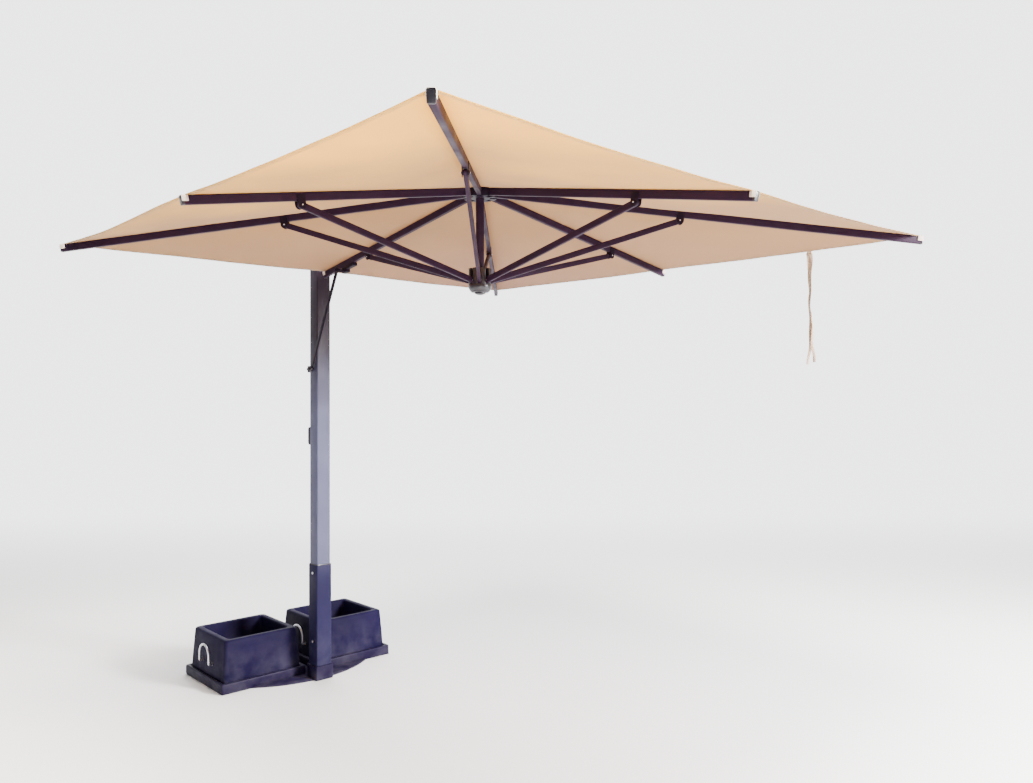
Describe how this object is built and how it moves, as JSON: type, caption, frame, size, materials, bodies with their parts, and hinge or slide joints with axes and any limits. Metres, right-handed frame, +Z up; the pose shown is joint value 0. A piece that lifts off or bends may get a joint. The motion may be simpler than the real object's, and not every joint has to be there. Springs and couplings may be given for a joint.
{
  "type": "patio umbrella with base",
  "caption": "Cantilever patio umbrella: square mast on a ballasted base, over-canopy boom, and a hanging square canopy with folding ribs, struts, runner and winch.",
  "frame": {"origin": "on the ground, under the middle of the foot block and the mast's axis", "axes": "+X from the mast towards the canopy's centre, +Y to the left when looking along +X, +Z up"},
  "size_m": [3.6437, 2.9116, 2.9557],
  "materials": {
    "base_steel": "dark powder coat, dusty",
    "mast_aluminium": "grey powder coat, satin",
    "frame_aluminium": "dark brown powder coat, satin",
    "fitting_metal": "dark powder coat, satin",
    "bright_steel": "zinc plated",
    "black_plastic": "moulded, glossy",
    "box_plastic": "moulded, dusty",
    "ballast": "gravel",
    "canopy_fabric": "woven polyester, beige",
    "tie_fabric": "woven tape, pale beige",
    "cord": "braided cord"
  },
  "bodies": {
    "root": {"foot_block": "base_steel", "base_plate": "base_steel", "tray_north": "base_steel", "tray_south": "base_steel", "mast_sleeve": "base_steel", "sleeve_bolts": "bright_steel", "mast_tube": "mast_aluminium", "mast_head": "fitting_metal", "head_bolts": "bright_steel", "boom_tube": "mast_aluminium", "boom_end_cap": "black_plastic", "boom_hanger": "fitting_metal", "hanger_bolts": "bright_steel", "winch_housing": "fitting_metal", "head_pulley": "black_plastic", "boom_pulley": "black_plastic", "lift_cord": "cord", "centre_pole": "frame_aluminium", "upper_hub": "fitting_metal", "hub_pins": "bright_steel", "canopy_cap": "black_plastic"},
    "box_north": {"ballast_box_north": "box_plastic", "ballast_fill_north": "ballast", "box_handles_north": "bright_steel"},
    "box_south": {"ballast_box_south": "box_plastic", "ballast_fill_south": "ballast", "box_handles_south": "bright_steel"},
    "winch_spindle": {"winch_spindle": "bright_steel"},
    "runner": {"runner": "black_plastic", "runner_cap": "black_plastic"},
    "stay": {"stay_bar": "fitting_metal"},
    "stay_knob": {"stay_knob": "black_plastic"},
    "tie_straps": {"tie_strap_long": "tie_fabric", "tie_strap_short": "tie_fabric"},
    "rib_e": {"rib_e": "frame_aluminium", "canopy_e": "canopy_fabric"},
    "strut_e": {"strut_e": "frame_aluminium"},
    "rib_ne": {"rib_ne": "frame_aluminium", "canopy_ne": "canopy_fabric"},
    "strut_ne": {"strut_ne": "frame_aluminium"},
    "rib_n": {"rib_n": "frame_aluminium", "canopy_n": "canopy_fabric"},
    "strut_n": {"strut_n": "frame_aluminium"},
    "rib_nw": {"rib_nw": "frame_aluminium", "canopy_nw": "canopy_fabric"},
    "strut_nw": {"strut_nw": "frame_aluminium"},
    "rib_w": {"rib_w": "frame_aluminium", "canopy_w": "canopy_fabric", "stay_bracket": "fitting_metal"},
    "strut_w": {"strut_w": "frame_aluminium"},
    "rib_sw": {"rib_sw": "frame_aluminium", "canopy_sw": "canopy_fabric"},
    "strut_sw": {"strut_sw": "frame_aluminium"},
    "rib_s": {"rib_s": "frame_aluminium", "canopy_s": "canopy_fabric"},
    "strut_s": {"strut_s": "frame_aluminium"},
    "rib_se": {"rib_se": "frame_aluminium", "canopy_se": "canopy_fabric"},
    "strut_se": {"strut_se": "frame_aluminium"}
  },
  "joints": [
    {"name": "canopy_fold", "type": "hinge", "parent": "root", "child": "rib_e", "pos_m": [1.573, 0, 2.705], "axis": [0, 1, 0], "range_deg": [0, 74.7], "deforming": ["canopy_e"]},
    {"name": "strut_e_swing", "type": "hinge", "parent": "rib_e", "child": "strut_e", "pos_m": [2.46255, 0, 2.51082], "axis": [0, 1, 0], "range_deg": [-146.64, 0]},
    {"name": "rib_ne_fold", "type": "hinge", "parent": "root", "child": "rib_ne", "pos_m": [1.5535, 0.04848, 2.705], "axis": [-0.6925, 0.7214, 0], "range_deg": [0, 78.1], "deforming": ["canopy_ne"]},
    {"name": "strut_ne_swing", "type": "hinge", "parent": "rib_ne", "child": "strut_ne", "pos_m": [2.19346, 0.66284, 2.56541], "axis": [-0.6925, 0.7214, 0], "range_deg": [-146.93, 0]},
    {"name": "rib_n_fold", "type": "hinge", "parent": "root", "child": "rib_n", "pos_m": [1.503, 0.07, 2.705], "axis": [-1, 0, 0], "range_deg": [0, 74.7], "deforming": ["canopy_n"]},
    {"name": "strut_n_swing", "type": "hinge", "parent": "rib_n", "child": "strut_n", "pos_m": [1.503, 0.95955, 2.51082], "axis": [-1, 0, 0], "range_deg": [-146.64, 0]},
    {"name": "rib_nw_fold", "type": "hinge", "parent": "root", "child": "rib_nw", "pos_m": [1.4525, 0.04848, 2.705], "axis": [-0.6925, -0.7214, 0], "range_deg": [0, 78.1], "deforming": ["canopy_nw"]},
    {"name": "strut_nw_swing", "type": "hinge", "parent": "rib_nw", "child": "strut_nw", "pos_m": [0.81254, 0.66284, 2.56541], "axis": [-0.6925, -0.7214, 0], "range_deg": [-146.93, 0]},
    {"name": "rib_w_fold", "type": "hinge", "parent": "root", "child": "rib_w", "pos_m": [1.433, 0, 2.705], "axis": [0, -1, 0], "range_deg": [0, 74.7], "deforming": ["canopy_w"]},
    {"name": "strut_w_swing", "type": "hinge", "parent": "rib_w", "child": "strut_w", "pos_m": [0.54345, 0, 2.51082], "axis": [0, -1, 0], "range_deg": [-146.64, 0]},
    {"name": "rib_sw_fold", "type": "hinge", "parent": "root", "child": "rib_sw", "pos_m": [1.4525, -0.04848, 2.705], "axis": [0.6925, -0.7214, 0], "range_deg": [0, 78.1], "deforming": ["canopy_sw"]},
    {"name": "strut_sw_swing", "type": "hinge", "parent": "rib_sw", "child": "strut_sw", "pos_m": [0.81254, -0.66284, 2.56541], "axis": [0.6925, -0.7214, 0], "range_deg": [-146.93, 0]},
    {"name": "rib_s_fold", "type": "hinge", "parent": "root", "child": "rib_s", "pos_m": [1.503, -0.07, 2.705], "axis": [1, 0, 0], "range_deg": [0, 74.7], "deforming": ["canopy_s"]},
    {"name": "strut_s_swing", "type": "hinge", "parent": "rib_s", "child": "strut_s", "pos_m": [1.503, -0.95955, 2.51082], "axis": [1, 0, 0], "range_deg": [-146.64, 0]},
    {"name": "rib_se_fold", "type": "hinge", "parent": "root", "child": "rib_se", "pos_m": [1.5535, -0.04848, 2.705], "axis": [0.6925, 0.7214, 0], "range_deg": [0, 78.1], "deforming": ["canopy_se"]},
    {"name": "strut_se_swing", "type": "hinge", "parent": "rib_se", "child": "strut_se", "pos_m": [2.19346, -0.66284, 2.56541], "axis": [0.6925, 0.7214, 0], "range_deg": [-146.93, 0]},
    {"name": "runner_drop", "type": "slide", "parent": "root", "child": "runner", "axis": [0, 0, -1], "range_m": [0, 1.4241]},
    {"name": "winch_turn", "type": "hinge", "parent": "root", "child": "winch_spindle", "pos_m": [0, 0, 1.477], "axis": [1, 0, 0], "range_deg": [0, 5627.3]},
    {"name": "stay_swing", "type": "hinge", "parent": "rib_w", "child": "stay", "pos_m": [0.29428, -0.06, 2.45537], "axis": [0, -1, 0], "range_deg": [-47.42, 0]},
    {"name": "strap_swing", "type": "hinge", "parent": "rib_ne", "child": "tie_straps", "pos_m": [2.446, 1.435, 2.465], "axis": [-0.6925, 0.7214, 0], "range_deg": [-78.11, 0]},
    {"name": "knob_turn", "type": "hinge", "parent": "root", "child": "stay_knob", "pos_m": [0, -0.063, 1.885], "axis": [0, 1, 0], "continuous": true},
    {"name": "box_north_lift", "type": "slide", "parent": "root", "child": "box_north", "axis": [0, 0, 1], "range_m": [0, 0.25]},
    {"name": "box_south_lift", "type": "slide", "parent": "root", "child": "box_south", "axis": [0, 0, 1], "range_m": [0, 0.25]}
  ],
  "couplings": [
    {"joint": "strut_e_swing", "follows": "canopy_fold", "ratio": -1.9629},
    {"joint": "rib_ne_fold", "follows": "canopy_fold", "ratio": 1.0455},
    {"joint": "strut_ne_swing", "follows": "canopy_fold", "ratio": -1.9667},
    {"joint": "rib_n_fold", "follows": "canopy_fold", "ratio": 1},
    {"joint": "strut_n_swing", "follows": "canopy_fold", "ratio": -1.9629},
    {"joint": "rib_nw_fold", "follows": "canopy_fold", "ratio": 1.0455},
    {"joint": "strut_nw_swing", "follows": "canopy_fold", "ratio": -1.9667},
    {"joint": "rib_w_fold", "follows": "canopy_fold", "ratio": 1},
    {"joint": "strut_w_swing", "follows": "canopy_fold", "ratio": -1.9629},
    {"joint": "rib_sw_fold", "follows": "canopy_fold", "ratio": 1.0455},
    {"joint": "strut_sw_swing", "follows": "canopy_fold", "ratio": -1.9667},
    {"joint": "rib_s_fold", "follows": "canopy_fold", "ratio": 1},
    {"joint": "strut_s_swing", "follows": "canopy_fold", "ratio": -1.9629},
    {"joint": "rib_se_fold", "follows": "canopy_fold", "ratio": 1.0455},
    {"joint": "strut_se_swing", "follows": "canopy_fold", "ratio": -1.9667},
    {"joint": "runner_drop", "follows": "canopy_fold", "m_per_rad": 1.0922},
    {"joint": "winch_turn", "follows": "canopy_fold", "ratio": 75.326},
    {"joint": "stay_swing", "follows": "canopy_fold", "ratio": -0.63465},
    {"joint": "strap_swing", "follows": "canopy_fold", "ratio": -1.0455}
  ]
}
